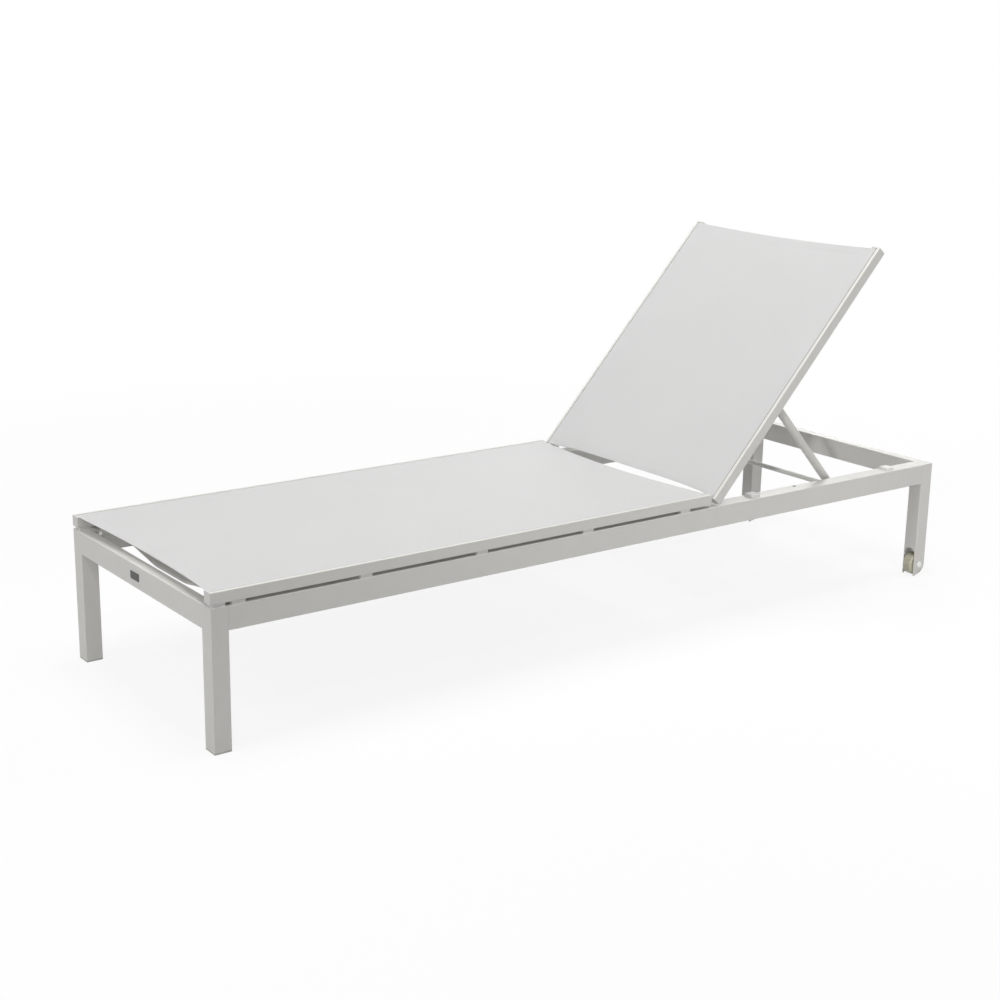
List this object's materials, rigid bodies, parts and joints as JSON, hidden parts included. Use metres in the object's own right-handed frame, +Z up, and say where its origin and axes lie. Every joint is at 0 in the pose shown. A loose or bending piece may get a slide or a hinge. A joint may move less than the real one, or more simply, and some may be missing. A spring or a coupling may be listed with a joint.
{
  "type": "sun lounger",
  "caption": "Reclining sun lounger: aluminium frame, mesh sling seat, hinged back held by a prop rod on notched racks, and wheels set in the head legs.",
  "frame": {"origin": "on the floor, under the middle of the whole length and width", "axes": "+X from the foot end to the head end, +Y to the right side, +Z up"},
  "size_m": [2.0606, 0.6452, 0.8641],
  "materials": {
    "frame": "powder coated, fine texture, off-white",
    "sling": "open weave of coated yarn, pale grey",
    "keder": "extruded rod",
    "hardware": "stainless, turned",
    "cap": "moulded, off-white",
    "glide": "moulded, worn pale grey",
    "pad": "moulded, pale",
    "badge": "plain dark plate",
    "wheel": "moulded, olive beige",
    "plug": "moulded, dark",
    "bush": "moulded, low friction",
    "rack": "moulded, off-white"
  },
  "bodies": {
    "base": {"foot_leg_left": "frame", "foot_leg_right": "frame", "head_leg_left": "frame", "head_leg_right": "frame", "side_rail_left": "frame", "side_rail_right": "frame", "foot_rail": "frame", "head_rail": "frame", "leg_caps": "cap", "foot_glides": "glide", "badge_plate": "badge", "wheel_axle_left": "hardware", "wheel_axle_right": "hardware", "seat_rail_left": "frame", "seat_rail_right": "frame", "seat_end_caps": "cap", "seat_keders": "keder", "seat_sling": "sling", "seat_foot_bar": "frame", "seat_middle_bar": "frame", "seat_head_bar": "frame", "spacer_pads": "pad", "rest_pads": "pad", "deck_bolts": "hardware", "hinge_plate_left": "frame", "hinge_plate_right": "frame", "hinge_plate_screws": "hardware", "hinge_bolts": "hardware", "rack_left": "rack", "rack_right": "rack", "rack_screws": "hardware", "rail_end_screws": "hardware", "rail_plugs": "plug"},
    "back": {"back_rail_left": "frame", "back_rail_right": "frame", "back_end_caps": "cap", "back_keders": "keder", "back_sling": "sling", "back_lower_bar": "frame", "back_top_bar": "frame", "hinge_bushes": "bush", "prop_bolts": "hardware", "prop_spacers": "bush"},
    "prop": {"prop_strut_left": "frame", "prop_strut_right": "frame", "prop_strut_caps": "cap", "prop_rod": "frame"},
    "wheel_left": {"wheel_left": "wheel"},
    "wheel_right": {"wheel_right": "wheel"}
  },
  "joints": [
    {"name": "back_recline", "type": "hinge", "parent": "base", "child": "back", "pos_m": [0.27585, 0, 0.315], "axis": [0, -1, 0], "range_deg": [-47.5, 17.5]},
    {"name": "prop_fold", "type": "hinge", "parent": "back", "child": "prop", "pos_m": [0.4754, 0, 0.52685], "axis": [0, -1, 0], "range_deg": [-32.1, 87]},
    {"name": "wheel_left_roll", "type": "hinge", "parent": "base", "child": "wheel_left", "pos_m": [1.00185, -0.301, 0.0285], "axis": [0, 1, 0], "continuous": true},
    {"name": "wheel_right_roll", "type": "hinge", "parent": "base", "child": "wheel_right", "pos_m": [1.00185, 0.301, 0.0285], "axis": [0, 1, 0], "continuous": true}
  ],
  "couplings": [
    {"joint": "prop_fold", "follows": "back_recline", "ratio": -1.83}
  ]
}
